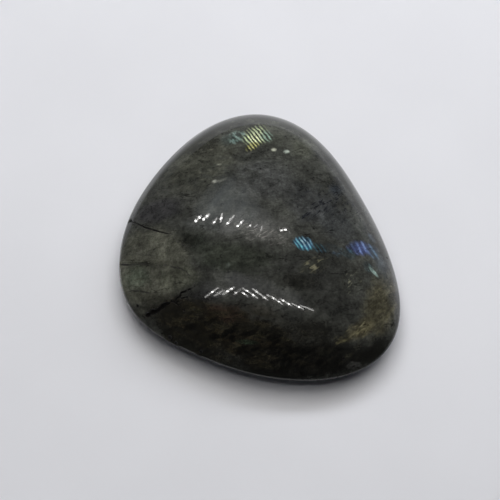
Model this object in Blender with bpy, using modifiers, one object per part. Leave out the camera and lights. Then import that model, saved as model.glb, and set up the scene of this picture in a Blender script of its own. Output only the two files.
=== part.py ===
"""A polished labradorite pebble, modelled as one solid stone.

The pebble is a tumbled palm stone: a rounded triangle in plan, a low glossy
dome on top, a tight girdle low down and a flatter underside that is worn to
a small flat foot. An open cleft crosses its left shoulder, and a few chips
and pits are left where the stone broke away before it was polished.

Metres, +Z up. The origin is at the middle of the stone's footprint, on the
surface that it rests on. +Y runs towards the narrow top corner and -X
towards the left corner.
"""

import math

import bmesh
import bpy
from mathutils import Vector, noise

MM = 0.001
NAME = "pebble"

# Plan: a round of PLAN_RADIUS with a few broad waves on it. Each wave has a
# number of crests, a height and the bearing of a crest in degrees. Two crests
# make it oval, three make it a rounded triangle, the rest straighten its sides.
PLAN_RADIUS = 28.56 * MM
PLAN_WAVES = (
    (2, 2.68 * MM, -63.2),
    (3, 2.64 * MM, -37.8),
    (4, 0.29 * MM, 20.5),
    (5, 0.30 * MM, 23.1),
    (6, 0.29 * MM, 25.0),
    (7, 0.10 * MM, 5.4),
    (8, 0.04 * MM, 1.3),
)

# Side view: the dome and the belly meet at the girdle, the widest line. A
# fullness of 2 makes a side view an ellipse, and more makes it boxier. An
# edge of 2 is as round as an ellipse's, and less is tighter: the rim is tight
# along the front and the left, and grows rounder towards the back right.
GIRDLE_HEIGHT = 4.3 * MM
DOME_RISE = 11.2 * MM
DOME_FULLNESS = 2.05
DOME_EDGE = 1.12
DOME_EDGE_GAIN = 0.78
ROUNDEST_BEARING = math.radians(45)
BELLY_DROP = 4.7 * MM
BELLY_FULLNESS = 2.7
BELLY_EDGE = 1.8

# The worn skin isn't a perfect round: it has low, wide swells.
SWELL_HEIGHT = 0.3 * MM
SWELL_SIZE = 17 * MM
SWELL_SEED = Vector((3.1, 7.4, 1.9))

# Cage and subdivision. The smooth skin runs a little inside its cage.
CAGE_CUTS = 11
SMOOTH_LEVELS = 1
CAGE_MARGIN = 1.0057

# The open cleft, from the rim inwards: bearing in degrees, share of the plan
# radius, half width.
CLEFT_ROUTE = (
    (214.4, 0.962, 0.16 * MM),
    (215.0, 0.943, 0.38 * MM),
    (216.0, 0.911, 0.36 * MM),
    (217.6, 0.855, 0.32 * MM),
    (219.0, 0.818, 0.26 * MM),
    (220.0, 0.790, 0.14 * MM),
)
CLEFT_SINK = 0.06 * MM

# Chips and pits: bearing, share of the plan radius, side of the girdle,
# radius of the bite, how deep it goes.
DOME = 1
BELLY = -1
BITES = (
    (166.0, 0.987, DOME, 0.9 * MM, 0.30 * MM),
    (209.0, 0.959, DOME, 0.7 * MM, 0.25 * MM),
    (228.5, 0.985, DOME, 1.0 * MM, 0.26 * MM),
    (232.0, 0.997, DOME, 1.1 * MM, 0.30 * MM),
    (243.5, 0.983, DOME, 0.8 * MM, 0.24 * MM),
    (305.0, 0.976, DOME, 1.2 * MM, 0.24 * MM),
    (75.0, 0.800, BELLY, 1.4 * MM, 0.34 * MM),
    (331.0, 0.900, BELLY, 1.2 * MM, 0.30 * MM),
)
BITE_SEGMENTS = 14


def plan_radius(bearing):
    """Distance from the middle to the girdle at a bearing."""
    radius = PLAN_RADIUS
    for crests, swell, crest_bearing in PLAN_WAVES:
        radius += swell * math.cos(crests * (bearing - math.radians(crest_bearing)))
    return radius


def plan_middle():
    """The middle of the plan outline's box, which is put over the origin."""
    outline = [
        (plan_radius(bearing) * math.cos(bearing), plan_radius(bearing) * math.sin(bearing))
        for bearing in (math.radians(degree) for degree in range(360))
    ]
    across, along = zip(*outline)
    return Vector((min(across) + max(across), min(along) + max(along), 0)) / 2


MIDDLE = plan_middle()
HEART = Vector((-MIDDLE.x, -MIDDLE.y, GIRDLE_HEIGHT))


def fullness(side):
    """How square the side view is on a side of the girdle."""
    return DOME_FULLNESS if side == DOME else BELLY_FULLNESS


def edge(bearing, side):
    """How round the side view is where it meets the girdle."""
    if side == BELLY:
        return BELLY_EDGE
    nearness = max(0.0, math.cos(bearing - ROUNDEST_BEARING))
    return DOME_EDGE + DOME_EDGE_GAIN * nearness ** 1.5


def rise_at(bearing, share, side):
    """Height of the skin over the girdle, at a share of the plan radius."""
    reach = DOME_RISE if side == DOME else -BELLY_DROP
    left = max(0.0, 1.0 - share ** fullness(side))
    return reach * left ** (1 / edge(bearing, side))


def skin_point(bearing, share, side=DOME):
    """The point of the skin at a bearing and a share of the plan radius."""
    radius = plan_radius(bearing) * share
    rise = rise_at(bearing, share, side)
    reach = Vector((radius * math.cos(bearing), radius * math.sin(bearing), rise))
    swell = noise.noise(reach / SWELL_SIZE + SWELL_SEED) * SWELL_HEIGHT
    return HEART + reach + reach.normalized() * swell


def cage_point(direction):
    """Where the cage has the corner that lies in a direction from the heart."""
    bearing = math.atan2(direction.y, direction.x)
    side = DOME if direction.z >= 0 else BELLY
    level = min(1.0, math.hypot(direction.x, direction.y))
    share = level ** (2 / fullness(side))
    return HEART + (skin_point(bearing, share, side) - HEART) * CAGE_MARGIN


def new_object(name, bm, collection):
    """Put a bmesh in a new object of a collection."""
    mesh = bpy.data.meshes.new(name)
    bm.to_mesh(mesh)
    bm.free()
    made = bpy.data.objects.new(name, mesh)
    collection.objects.link(made)
    return made


def new_collection(name):
    """Add an empty collection to the scene."""
    made = bpy.data.collections.new(name)
    bpy.context.scene.collection.children.link(made)
    return made


def clear_scene():
    """Remove what the scene holds, so that the script can run again."""
    for old in list(bpy.data.objects):
        bpy.data.objects.remove(old, do_unlink=True)
    for old in list(bpy.data.collections):
        bpy.data.collections.remove(old)


def make_stone(collection):
    """The stone's smooth body, from a cube cage pulled to the skin."""
    bm = bmesh.new()
    bmesh.ops.create_cube(bm, size=2)
    bmesh.ops.subdivide_edges(bm, edges=bm.edges, cuts=CAGE_CUTS, use_grid_fill=True)
    for vert in bm.verts:
        warped = Vector(math.tan(axis * math.pi / 4) for axis in vert.co)
        vert.co = cage_point(warped.normalized())
    for face in bm.faces:
        face.smooth = True
    stone = new_object(NAME, bm, collection)
    smooth = stone.modifiers.new("smooth_skin", "SUBSURF")
    smooth.levels = SMOOTH_LEVELS
    smooth.render_levels = SMOOTH_LEVELS
    return stone


def cut(stone, cutter, label):
    """Take a cutter away from the stone, and keep it as a hidden guide."""
    cutter.hide_render = True
    cutter.display_type = "WIRE"
    step = stone.modifiers.new(label, "BOOLEAN")
    step.operation = "DIFFERENCE"
    step.solver = "EXACT"
    step.object = cutter


def make_foot_cutter(collection):
    """A slab whose top face wears the belly to a flat foot."""
    bm = bmesh.new()
    bmesh.ops.create_cube(bm, size=1)
    bmesh.ops.scale(bm, vec=(3 * PLAN_RADIUS, 3 * PLAN_RADIUS, GIRDLE_HEIGHT), verts=bm.verts)
    slab = new_object("foot_cutter", bm, collection)
    slab.location.z = -GIRDLE_HEIGHT / 2
    return slab


def make_cleft_cutter(collection):
    """A tapering rod laid just under the skin along the cleft."""
    curve = bpy.data.curves.new("cleft_route", "CURVE")
    curve.dimensions = "3D"
    curve.bevel_depth = 1.0
    curve.bevel_resolution = 1
    curve.use_fill_caps = True
    line = curve.splines.new("POLY")
    line.points.add(len(CLEFT_ROUTE) - 1)
    for point, (bearing, share, half_width) in zip(line.points, CLEFT_ROUTE):
        place = skin_point(math.radians(bearing), share)
        place.z -= CLEFT_SINK
        point.co = (*place, 1)
        point.radius = half_width
    rod = bpy.data.objects.new("cleft_route", curve)
    collection.objects.link(rod)
    solid = bpy.data.meshes.new_from_object(
        rod.evaluated_get(bpy.context.evaluated_depsgraph_get())
    )
    bm = bmesh.new()
    bm.from_mesh(solid)
    bmesh.ops.remove_doubles(bm, verts=bm.verts, dist=0.001 * MM)
    cutter = new_object("cleft_cutter", bm, collection)
    cutter.matrix_world = rod.matrix_world
    bpy.data.objects.remove(rod)
    return cutter


def make_bite_cutter(index, bite, collection):
    """A small ball that bites a chip or a pit out of the skin."""
    bearing, share, side, radius, depth = bite
    place = skin_point(math.radians(bearing), share, side)
    outwards = place - HEART
    outwards.z *= PLAN_RADIUS / DOME_RISE
    outwards.normalize()
    bm = bmesh.new()
    bmesh.ops.create_uvsphere(
        bm, u_segments=BITE_SEGMENTS, v_segments=BITE_SEGMENTS // 2, radius=radius
    )
    ball = new_object(f"bite_cutter_{index}", bm, collection)
    ball.location = place + outwards * (radius - depth)
    return ball


def make_material():
    """Dark olive-grey feldspar with a polished, glassy skin."""
    finish = bpy.data.materials.new("labradorite")
    finish.use_nodes = True
    shader = finish.node_tree.nodes["Principled BSDF"]
    shader.inputs["Base Color"].default_value = (0.045, 0.048, 0.036, 1)
    shader.inputs["Roughness"].default_value = 0.12
    shader.inputs["Metallic"].default_value = 0.0
    return finish


def build():
    """Make the pebble and the guides that cut it."""
    clear_scene()
    stones = new_collection("labradorite_pebble")
    guides = new_collection("cutters")
    stone = make_stone(stones)
    stone.data.materials.append(make_material())
    cut(stone, make_foot_cutter(guides), "flat_foot")
    cut(stone, make_cleft_cutter(guides), "open_cleft")
    for index, bite in enumerate(BITES, start=1):
        cut(stone, make_bite_cutter(index, bite, guides), f"bite_{index}")


build()
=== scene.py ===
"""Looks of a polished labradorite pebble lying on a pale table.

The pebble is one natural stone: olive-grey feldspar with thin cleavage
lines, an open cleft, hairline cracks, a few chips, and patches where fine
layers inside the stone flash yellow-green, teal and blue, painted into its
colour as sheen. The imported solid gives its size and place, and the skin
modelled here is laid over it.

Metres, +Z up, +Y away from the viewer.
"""

from __future__ import annotations

import logging
import math
from collections.abc import Callable, Sequence
from dataclasses import dataclass, field
from enum import Enum

import bmesh
import bpy
from mathutils import Matrix, Vector, kdtree, noise
from mathutils.bvhtree import BVHTree
from mathutils.interpolate import poly_3d_calc


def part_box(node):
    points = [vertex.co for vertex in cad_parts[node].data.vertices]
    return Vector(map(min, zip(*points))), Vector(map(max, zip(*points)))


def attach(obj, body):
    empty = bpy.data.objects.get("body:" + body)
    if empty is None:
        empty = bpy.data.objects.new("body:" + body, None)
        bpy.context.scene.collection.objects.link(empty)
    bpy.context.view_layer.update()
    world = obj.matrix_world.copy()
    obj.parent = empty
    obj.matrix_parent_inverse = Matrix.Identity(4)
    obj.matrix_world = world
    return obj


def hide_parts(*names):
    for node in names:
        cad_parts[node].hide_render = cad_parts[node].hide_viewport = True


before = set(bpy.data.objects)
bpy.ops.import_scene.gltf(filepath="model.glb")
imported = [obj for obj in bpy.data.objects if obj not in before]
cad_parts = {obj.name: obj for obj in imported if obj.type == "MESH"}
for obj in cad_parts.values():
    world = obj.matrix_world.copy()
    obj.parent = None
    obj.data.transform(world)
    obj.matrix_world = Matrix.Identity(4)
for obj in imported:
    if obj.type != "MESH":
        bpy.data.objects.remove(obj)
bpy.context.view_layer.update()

log = logging.getLogger("pebble")

MM = 0.001
STONE_NODE = "pebble"
STONE_SLOT = "labradorite"
CRACK_SHADE = "crack_shade"

Triple = tuple[float, float, float]
Colour = Triple
Pixel = tuple[float, float]
Feed = bpy.types.NodeSocket | float | Sequence[float]


# ---------------------------------------------------------------------------
# Working by hand: selecting, shaping, applying
# ---------------------------------------------------------------------------


def deselect_all() -> None:
    """Leave nothing selected and nothing active."""
    bpy.ops.object.select_all(action="DESELECT")
    bpy.context.view_layer.objects.active = None


def take_up(piece: bpy.types.Object) -> None:
    """Select one piece alone and make it active."""
    deselect_all()
    piece.select_set(True)
    bpy.context.view_layer.objects.active = piece


def edit_whole(piece: bpy.types.Object) -> None:
    """Enter edit mode on one piece, with all of it selected."""
    take_up(piece)
    bpy.ops.object.mode_set(mode="EDIT")
    bpy.ops.mesh.select_all(action="SELECT")


def edit_edges(piece: bpy.types.Object) -> bmesh.types.BMesh:
    """Enter edit mode on the edges of one piece, and give its mesh."""
    take_up(piece)
    bpy.ops.object.mode_set(mode="EDIT")
    bpy.ops.mesh.select_mode(type="EDGE")
    return bmesh.from_edit_mesh(piece.data)


def leave_edit() -> None:
    """Go back to object mode."""
    bpy.ops.object.mode_set(mode="OBJECT")


def apply_modifier(piece: bpy.types.Object, kind: str, **settings: object) -> None:
    """Add a modifier to a piece, set it up and apply it.

    Args:
        piece: The piece to change.
        kind: The modifier's type, such as "SHRINKWRAP".
        **settings: The modifier's own settings.
    """
    take_up(piece)
    step = piece.modifiers.new(kind.lower(), kind)
    for name, value in settings.items():
        setattr(step, name, value)
    bpy.ops.object.modifier_apply(modifier=step.name)


def select_faces(piece: bpy.types.Object, wanted: Callable[[Vector], bool]) -> int:
    """Select, in edit mode, the faces whose middle passes a test.

    Args:
        piece: The piece, already in edit mode.
        wanted: A test of a face's middle.

    Returns:
        How many faces were selected.
    """
    bm = bmesh.from_edit_mesh(piece.data)
    count = 0
    for face in bm.faces:
        chosen = wanted(face.calc_center_median())
        face.select_set(chosen)
        count += chosen
    bm.select_flush_mode()
    bmesh.update_edit_mesh(piece.data)
    return count


# ---------------------------------------------------------------------------
# Where the stone is seen from
# ---------------------------------------------------------------------------


@dataclass(frozen=True)
class Viewpoint:
    """The main view of the stone, in which pixels name the places on it."""

    elevation: float = math.radians(60)
    distance: float = 350 * MM
    aim: Triple = (-1.72 * MM, -3.56 * MM, 7.09 * MM)
    frame_px: int = 500
    px_per_metre: float = 5021.0
    sensor: float = 36.0

    def across(self) -> Vector:
        """The direction that runs to the right in the view."""
        return Vector((1, 0, 0))

    def upwards(self) -> Vector:
        """The direction that runs up the view."""
        return Vector((0, math.sin(self.elevation), math.cos(self.elevation)))

    def inwards(self) -> Vector:
        """The direction that runs into the view."""
        return Vector((0, math.cos(self.elevation), -math.sin(self.elevation)))

    def eye(self) -> Vector:
        """Where the camera stands."""
        return Vector(self.aim) - self.inwards() * self.distance

    def ray(self, pixel: Pixel) -> Vector:
        """The direction in which a pixel of the view looks."""
        half = self.frame_px / 2
        right = (pixel[0] - half) / self.px_per_metre
        up = (half - pixel[1]) / self.px_per_metre
        sight = self.inwards() * self.distance + self.across() * right + self.upwards() * up
        return sight.normalized()

    def laid_flat(self, point: Vector) -> Vector:
        """A point as right, up and towards the viewer, seen from far away."""
        return Vector(
            (point.dot(self.across()), point.dot(self.upwards()), -point.dot(self.inwards()))
        )

    def make_camera(self) -> bpy.types.Object:
        """Set up the camera of the main view.

        Returns:
            The camera, which is also made the scene's camera.
        """
        lens = bpy.data.cameras.new("main_view")
        lens.sensor_width = self.sensor
        lens.lens = self.sensor * self.px_per_metre * self.distance / self.frame_px
        lens.clip_start = 10 * MM
        lens.dof.use_dof = False
        camera = bpy.data.objects.new("main_view", lens)
        bpy.context.scene.collection.objects.link(camera)
        camera.location = self.eye()
        camera.rotation_euler = (math.pi / 2 - self.elevation, 0, 0)
        bpy.context.scene.camera = camera
        return camera


@dataclass
class Surface:
    """A smooth skin that can be looked up from pixels of the main view."""

    piece: bpy.types.Object
    view: Viewpoint

    def __post_init__(self) -> None:
        """Index the skin's faces."""
        mesh = self.piece.data
        self.corners = [vert.co.copy() for vert in mesh.vertices]
        self.normals = [vert.normal.copy() for vert in mesh.vertices]
        self.faces = [tuple(face.vertices) for face in mesh.polygons]
        self.tree = BVHTree.FromPolygons(self.corners, self.faces)

    def hit(self, pixel: Pixel) -> tuple[Vector, Vector]:
        """The point and the smooth normal that a pixel shows.

        Args:
            pixel: A pixel of the main view that lies on the stone.

        Returns:
            The point on the skin and its normal.
        """
        point, _, index, _ = self.tree.ray_cast(self.view.eye(), self.view.ray(pixel))
        if point is None:
            raise ValueError(f"pixel {pixel} isn't on the stone")
        face = self.faces[index]
        weights = poly_3d_calc([self.corners[corner] for corner in face], point)
        normal = Vector()
        for corner, weight in zip(face, weights):
            normal += self.normals[corner] * weight
        return point, normal.normalized()

    def mirrored(self, pixel: Pixel) -> tuple[Vector, Vector]:
        """The point that a pixel shows, and what direction it mirrors."""
        point, normal = self.hit(pixel)
        sight = self.view.ray(pixel)
        return point, sight - 2 * sight.dot(normal) * normal

    def flat(self, pixel: Pixel) -> Vector:
        """Where a pixel's point on the skin lies when the view is laid flat."""
        return self.view.laid_flat(self.hit(pixel)[0])


# ---------------------------------------------------------------------------
# The stone's skin
# ---------------------------------------------------------------------------


@dataclass(frozen=True)
class Crack:
    """A groove along a route of pixels: a cleft, a crack or a hairline.

    Width is half the groove's width where it is widest, and dark how far it
    loses the stone's colour, partly to the cracks' own darkness and partly to
    painted shade inside the grooves. A groove with one pixel is a pit.
    """

    name: str
    route: tuple[Pixel, ...]
    width: float
    depth: float
    wander: float = 0.10 * MM
    taper: float = 0.35
    dark: float = 1.0


@dataclass(frozen=True)
class GroovePoint:
    """One place along a groove."""

    place: Vector
    width: float
    depth: float
    dark: float


CLEFT = (
    Crack("mouth", ((145.8, 315.8), (149, 314.4), (152.5, 312.8), (156, 311.6)),
          0.58 * MM, 0.60 * MM, taper=0.12),
    Crack("throat", ((155, 312.2), (158, 310), (161, 307.6), (164.5, 304.8), (169.5, 302.6)),
          0.46 * MM, 0.50 * MM, taper=0.12),
    Crack("tail", ((168, 303.2), (174, 300.6), (178.8, 297.4), (182, 293.2), (188, 290), (194, 287)),
          0.24 * MM, 0.22 * MM, wander=0.22 * MM),
    Crack("shard", ((170.4, 299.6), (175, 302.4), (180.6, 301)), 0.20 * MM, 0.18 * MM),
    Crack("shard_2", ((176, 295.6), (181, 298.4), (186.4, 297)), 0.17 * MM, 0.16 * MM),
    Crack("branch", ((172, 302), (175.6, 303.4), (180, 305.8)), 0.13 * MM, 0.14 * MM),
)
CRACKS = (
    Crack("shoulder_crack", ((130.5, 221.4), (134, 222.6), (140, 225.2), (148, 228.4),
                             (156, 230.8), (164, 232.8), (173, 234.4)), 0.19 * MM, 0.16 * MM),
    Crack("upper_cleavage", ((122, 253.6), (131, 254.8), (139, 254.2), (150, 255.4), (164, 256.4)),
          0.17 * MM, 0.012 * MM, wander=0.18 * MM, dark=0.35),
    Crack("lower_cleavage", ((120.6, 264.4), (130, 265.2), (141, 264.2), (152, 266.4),
                             (160, 265.2)), 0.20 * MM, 0.022 * MM, wander=0.24 * MM, dark=0.55),
    Crack("long_cleavage", ((158, 265), (172, 266), (183, 270), (191, 275.6), (200, 273.6)),
          0.18 * MM, 0.018 * MM, wander=0.30 * MM, dark=0.7),
    Crack("rim_cleavage", ((119.8, 264.2), (125, 265), (132, 265.4)), 0.26 * MM, 0.055 * MM,
          dark=0.85),
    Crack("low_cleavage", ((128.2, 292.2), (133, 290.8), (140, 291), (150, 293.6)),
          0.22 * MM, 0.026 * MM, wander=0.20 * MM, dark=0.75),
    Crack("blotch_crack", ((173, 234.4), (176, 240), (184, 245.6), (194, 247)),
          0.16 * MM, 0.020 * MM, wander=0.30 * MM, dark=0.6),
    Crack("shoulder_line", ((152, 200.4), (168, 199.4), (186, 200.6), (202, 202)),
          0.14 * MM, 0.014 * MM, wander=0.16 * MM, dark=0.5),
    Crack("brow_line", ((256, 168), (268, 165), (280, 160.6), (290, 158.4)),
          0.14 * MM, 0.02 * MM, wander=0.20 * MM, dark=0.5),
    Crack("pale_edge", ((196, 282), (190, 291), (186, 297)), 0.14 * MM, 0.03 * MM, dark=0.6),
)
PITS = (
    Crack("shoulder_notch", ((130.6, 221),), 0.42 * MM, 0.28 * MM),
    Crack("rim_pit", ((137.4, 306),), 0.40 * MM, 0.26 * MM),
    Crack("left_chip", ((169.6, 337.6),), 0.46 * MM, 0.16 * MM),
    Crack("left_chip_2", ((175.8, 343.6),), 0.40 * MM, 0.18 * MM),
    Crack("front_chip", ((200.6, 351.8),), 0.40 * MM, 0.16 * MM),
    Crack("cleft_pit", ((187, 297.4),), 0.26 * MM, 0.10 * MM),
    Crack("cleft_pit_2", ((184.5, 310.6),), 0.22 * MM, 0.09 * MM),
    Crack("cleft_pit_3", ((194.5, 309.6),), 0.20 * MM, 0.08 * MM),
    Crack("corner_chip", ((352, 367.2), (355, 365.6)), 0.34 * MM, 0.10 * MM),
    Crack("corner_pit", ((343.4, 358.4),), 0.34 * MM, 0.10 * MM),
    Crack("right_pit", ((387, 258),), 0.26 * MM, 0.10 * MM),
    Crack("dome_pit", ((153.5, 225),), 0.20 * MM, 0.07 * MM),
)


@dataclass
class PebbleSkin:
    """The visible skin of the stone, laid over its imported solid.

    A groove wanders by bends of a few sizes, each a share of its whole
    wander, and swells and narrows as it goes. The seed fixes the bends.
    """

    solid: bpy.types.Object
    view: Viewpoint
    cage_cuts: int = 23
    cage_radius: float = 45 * MM
    cage_margin: float = 0.05 * MM
    tall: float = 3.0
    girdle_reach: float = 0.1 * MM
    girdle_crease: float = 0.85
    tight_bearings: tuple[float, float] = (math.radians(78), math.radians(350))
    skin_levels: int = 2
    groove_step: float = 0.09 * MM
    groove_shore: float = 0.45 * MM
    groove_cuts: int = 3
    groove_seed: int = 4
    groove_bends: tuple[tuple[float, float], ...] = ((1.1 * MM, 1.0), (0.4 * MM, 0.5))
    groove_swell: float = 0.45
    swell_size: float = 0.6 * MM
    groove_tip: float = 0.08
    shade_edge: float = 2.4
    piece: bpy.types.Object = field(default=None, repr=False)
    smooth: Surface = field(default=None, repr=False)

    def copy_uncut(self) -> bpy.types.Object:
        """The solid without its cleft and chips: its convex hull.

        Returns:
            The hull, as a helper to lay the skin on.
        """
        hull = bpy.data.objects.new("uncut_form", self.solid.data.copy())
        bpy.context.scene.collection.objects.link(hull)
        edit_whole(hull)
        bpy.ops.mesh.convex_hull(join_triangles=False)
        leave_edit()
        return hull

    def stretch(self, piece: bpy.types.Object, factor: float, about: Vector) -> None:
        """Stretch a piece upwards and downwards from a height."""
        edit_whole(piece)
        bpy.ops.transform.resize(value=(1, 1, factor), center_override=tuple(about))
        leave_edit()

    def block_out(self, heart: Vector) -> None:
        """A cube cut into a cage and rounded, its middle line on the girdle."""
        deselect_all()
        bpy.ops.mesh.primitive_cube_add(size=2 * self.cage_radius, location=(0, 0, 0))
        self.piece = bpy.context.active_object
        self.piece.name = "polished_stone"
        edit_whole(self.piece)
        bpy.ops.mesh.subdivide(number_cuts=self.cage_cuts)
        leave_edit()
        apply_modifier(self.piece, "CAST", cast_type="SPHERE", factor=1.0, radius=0.0,
                       use_radius_as_size=False, size=self.cage_radius)
        edit_whole(self.piece)
        bpy.ops.transform.translate(value=tuple(heart))
        leave_edit()

    def lay_over(self, hull: bpy.types.Object, heart: Vector) -> None:
        """Pull the cage straight in onto the hull, then round it off.

        Both are stretched to about a ball's height meanwhile, so that the
        cage's rows lie close together along the tight girdle.
        """
        self.stretch(hull, self.tall, heart)
        apply_modifier(
            self.piece,
            "SHRINKWRAP",
            target=hull,
            wrap_method="PROJECT",
            use_negative_direction=True,
            use_positive_direction=False,
        )
        self.stretch(self.piece, 1 / self.tall, heart)
        apply_modifier(self.piece, "DISPLACE", direction="NORMAL", mid_level=0.0,
                       strength=self.cage_margin)
        self.tighten_rim(heart)
        self.crease_girdle(heart.z)
        apply_modifier(
            self.piece, "SUBSURF", levels=self.skin_levels, render_levels=self.skin_levels
        )
        bpy.ops.object.shade_smooth()

    def tighten_rim(self, heart: Vector) -> None:
        """Take out the cage's first row over the girdle, where the edge is tight.

        The girdle is then left as a ridge; only the stone's back right keeps
        the row, and with it a rounder edge.
        """
        bm = edit_edges(self.piece)
        girdle = {vert for vert in bm.verts if abs(vert.co.z - heart.z) < self.girdle_reach}
        row = {edge.other_vert(vert) for vert in girdle for edge in vert.link_edges}
        row = {vert for vert in row if vert.co.z > heart.z + self.girdle_reach}
        start, end = self.tight_bearings
        tight = {vert for vert in row
                 if start < math.atan2(vert.co.y - heart.y, vert.co.x - heart.x) % math.tau < end}
        for edge in bm.edges:
            edge.select_set(all(vert in tight for vert in edge.verts))
        bmesh.update_edit_mesh(self.piece.data)
        bpy.ops.mesh.dissolve_edges(use_verts=True)
        leave_edit()

    def crease_girdle(self, height: float) -> None:
        """Keep the edge loop of the girdle tight when the cage is rounded off."""
        bm = edit_edges(self.piece)
        for edge in bm.edges:
            edge.select_set(all(abs(vert.co.z - height) < self.girdle_reach for vert in edge.verts))
        bmesh.update_edit_mesh(self.piece.data)
        bpy.ops.transform.edge_crease(value=self.girdle_crease)
        leave_edit()

    def along_groove(self, crack: Crack) -> list[GroovePoint]:
        """Points close together along a groove, on the smooth skin.

        Args:
            crack: The groove.

        Returns:
            The points, each with the groove's width and depth there.
        """
        marks = [self.smooth.hit(pixel)[0] for pixel in crack.route]
        if len(marks) == 1:
            return [GroovePoint(marks[0], crack.width, crack.depth, crack.dark)]
        lengths = [(b - a).length for a, b in zip(marks, marks[1:])]
        whole = sum(lengths)
        points = []
        walked = 0.0
        for start, end, length in zip(marks, marks[1:], lengths):
            steps = max(1, round(length / self.groove_step))
            for step in range(steps):
                place = start.lerp(end, step / steps)
                share = (walked + length * step / steps) / whole
                drift = Vector()
                for size, part in self.groove_bends:
                    drift += noise.noise_vector(place / size) * crack.wander * part
                swell = 1 + self.groove_swell * noise.noise(place / self.swell_size)
                end_share = min(share, 1 - share) / crack.taper
                narrow = math.sqrt(min(1.0, end_share + self.groove_tip)) * swell
                points.append(GroovePoint(place + drift, crack.width * narrow,
                                          crack.depth * narrow, crack.dark))
            walked += length
        log.debug("%s: %d points", crack.name, len(points))
        return points

    def carve(self, cracks: Sequence[Crack]) -> None:
        """Sink every groove and pit into the skin.

        The skin is cut finer along the grooves, and each vertex there is
        pushed in by a weight that is also kept as the crack's shade: a darkening
        that is partly the cracks' own colour and partly painted shade in the grooves.
        """
        noise.seed_set(self.groove_seed)
        points = [point for crack in cracks for point in self.along_groove(crack)]
        index = kdtree.KDTree(len(points))
        for number, point in enumerate(points):
            index.insert(point.place, number)
        index.balance()

        def near_groove(middle: Vector) -> bool:
            """Whether a face with this middle lies close to a groove."""
            _, number, distance = index.find(middle)
            return distance < points[number].width + self.groove_shore

        take_up(self.piece)
        bpy.ops.object.mode_set(mode="EDIT")
        bpy.ops.mesh.select_mode(type="FACE")
        count = select_faces(self.piece, near_groove)
        bpy.ops.mesh.subdivide(number_cuts=self.groove_cuts, smoothness=1.0)
        leave_edit()
        deepest = max(point.depth for point in points)
        widest = max(point.width for point in points)
        group = self.piece.vertex_groups.new(name="carved")
        shades = [0.0] * len(self.piece.data.vertices)
        for vert in self.piece.data.vertices:
            sink = 0.0
            for place, number, distance in index.find_range(vert.co, widest):
                point = points[number]
                slope = max(0.0, 1 - (distance / point.width) ** 2)
                sink = max(sink, slope * point.depth / deepest)
                shade = point.dark * min(1.0, self.shade_edge * slope)
                shades[vert.index] = max(shades[vert.index], shade)
            if sink:
                group.add([vert.index], sink, "REPLACE")
        layer = self.piece.data.attributes.new(CRACK_SHADE, "FLOAT", "POINT")
        layer.data.foreach_set("value", shades)
        apply_modifier(
            self.piece,
            "DISPLACE",
            direction="NORMAL",
            mid_level=0.0,
            strength=-deepest,
            vertex_group=group.name,
        )
        self.piece.vertex_groups.clear()
        log.info("%s: %d faces cut finer for %d grooves", self.piece.name, count, len(cracks))

    def build(self) -> bpy.types.Object:
        """Model the skin.

        Returns:
            The finished piece.
        """
        hull = self.copy_uncut()
        low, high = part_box(STONE_NODE)
        girdle = max(hull.data.vertices, key=lambda vert: vert.co.x).co.z
        heart = Vector(((high.x + low.x) / 2, (high.y + low.y) / 2, girdle))
        self.block_out(heart)
        self.lay_over(hull, heart)
        bpy.data.objects.remove(hull)
        self.smooth = Surface(self.piece, self.view)
        self.carve(CLEFT + CRACKS + PITS)
        return self.piece


# ---------------------------------------------------------------------------
# Node boards
# ---------------------------------------------------------------------------


class Kind(Enum):
    """What runs through a group's socket."""

    NUMBER = "NodeSocketFloat"
    VECTOR = "NodeSocketVector"


class Lit(Enum):
    """How the inner layers of a flash catch the light."""

    BANDS = "layer_bands"
    WISPS = "torn_wisps"


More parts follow.
